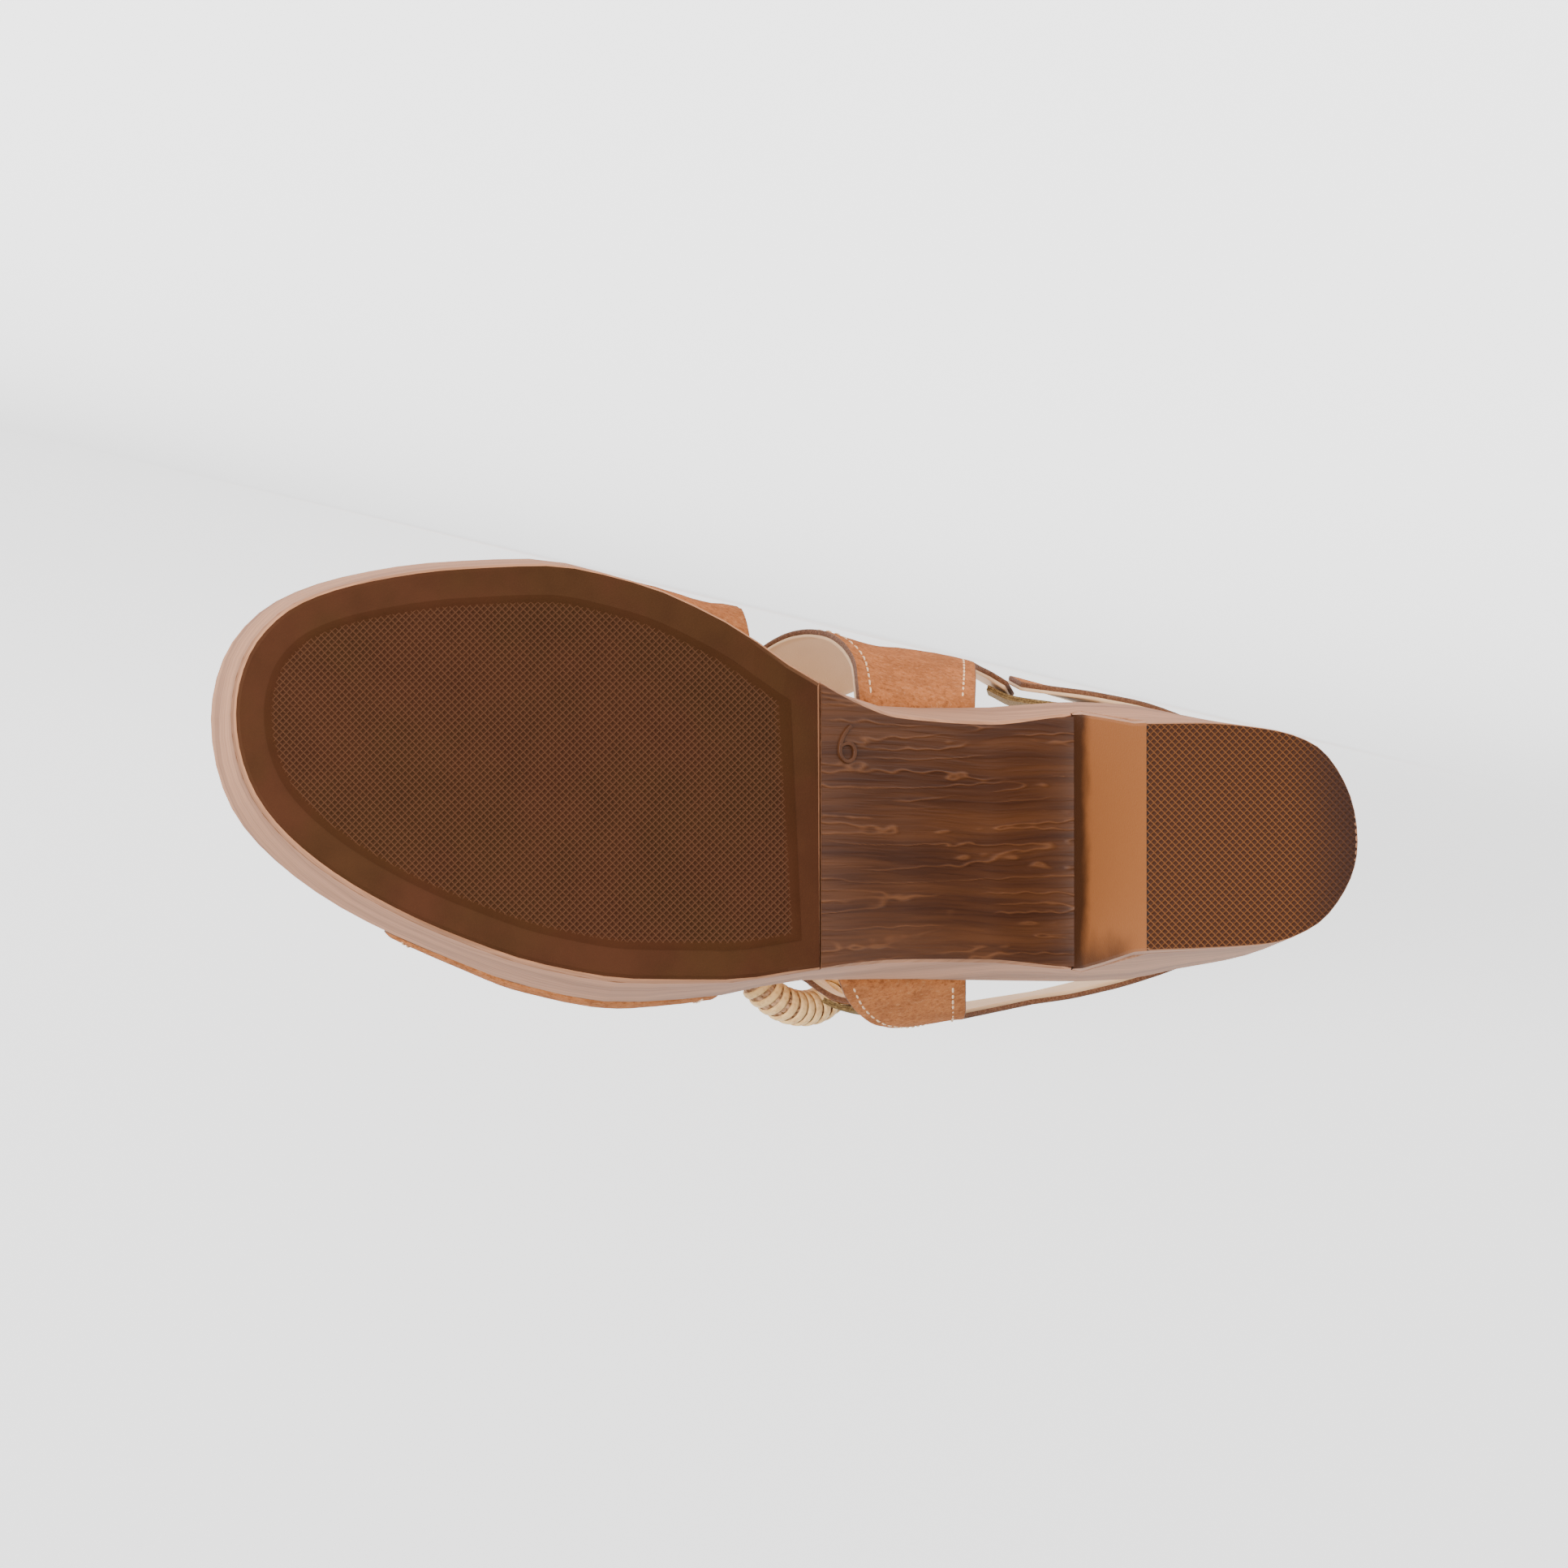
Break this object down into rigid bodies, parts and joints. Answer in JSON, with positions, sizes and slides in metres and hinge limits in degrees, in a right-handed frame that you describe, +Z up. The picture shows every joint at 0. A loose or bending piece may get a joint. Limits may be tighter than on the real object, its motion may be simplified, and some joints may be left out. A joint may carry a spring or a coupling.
{
  "type": "suede platform sandal",
  "caption": "Right suede sandal lying on its inner side: open-toe vamp band, ring-fastened instep strap, heel sling, wood-look platform and block heel",
  "frame": {"origin": "middle of the footprint's bounding box, on the floor under the shoe lying on its inner side", "axes": "+X runs towards the toe, +Z is up, and the sole faces -Y, leaning down by about 3.5 degrees"},
  "size_m": [0.2454, 0.1258, 0.0918],
  "materials": {
    "sole_unit": "satin",
    "heel_lift": "matte",
    "outsole_forefoot": "matte",
    "insole": "matte",
    "vamp_band": "matte",
    "quarter_and_instep_strap": "matte",
    "quarter_and_heel_sling": "matte",
    "elastic_gore": "matte",
    "hook_and_loop_pad": "matte",
    "raffia_ring": "matte"
  },
  "bodies": {
    "root": {"sole_unit": "sole_unit", "heel_lift": "heel_lift", "outsole_forefoot": "outsole_forefoot", "insole": "insole", "vamp_band": "vamp_band", "quarter_and_instep_strap": "quarter_and_instep_strap", "quarter_and_heel_sling": "quarter_and_heel_sling", "elastic_gore": "elastic_gore", "hook_and_loop_pad": "hook_and_loop_pad", "raffia_ring": "raffia_ring"}
  },
  "joints": []
}
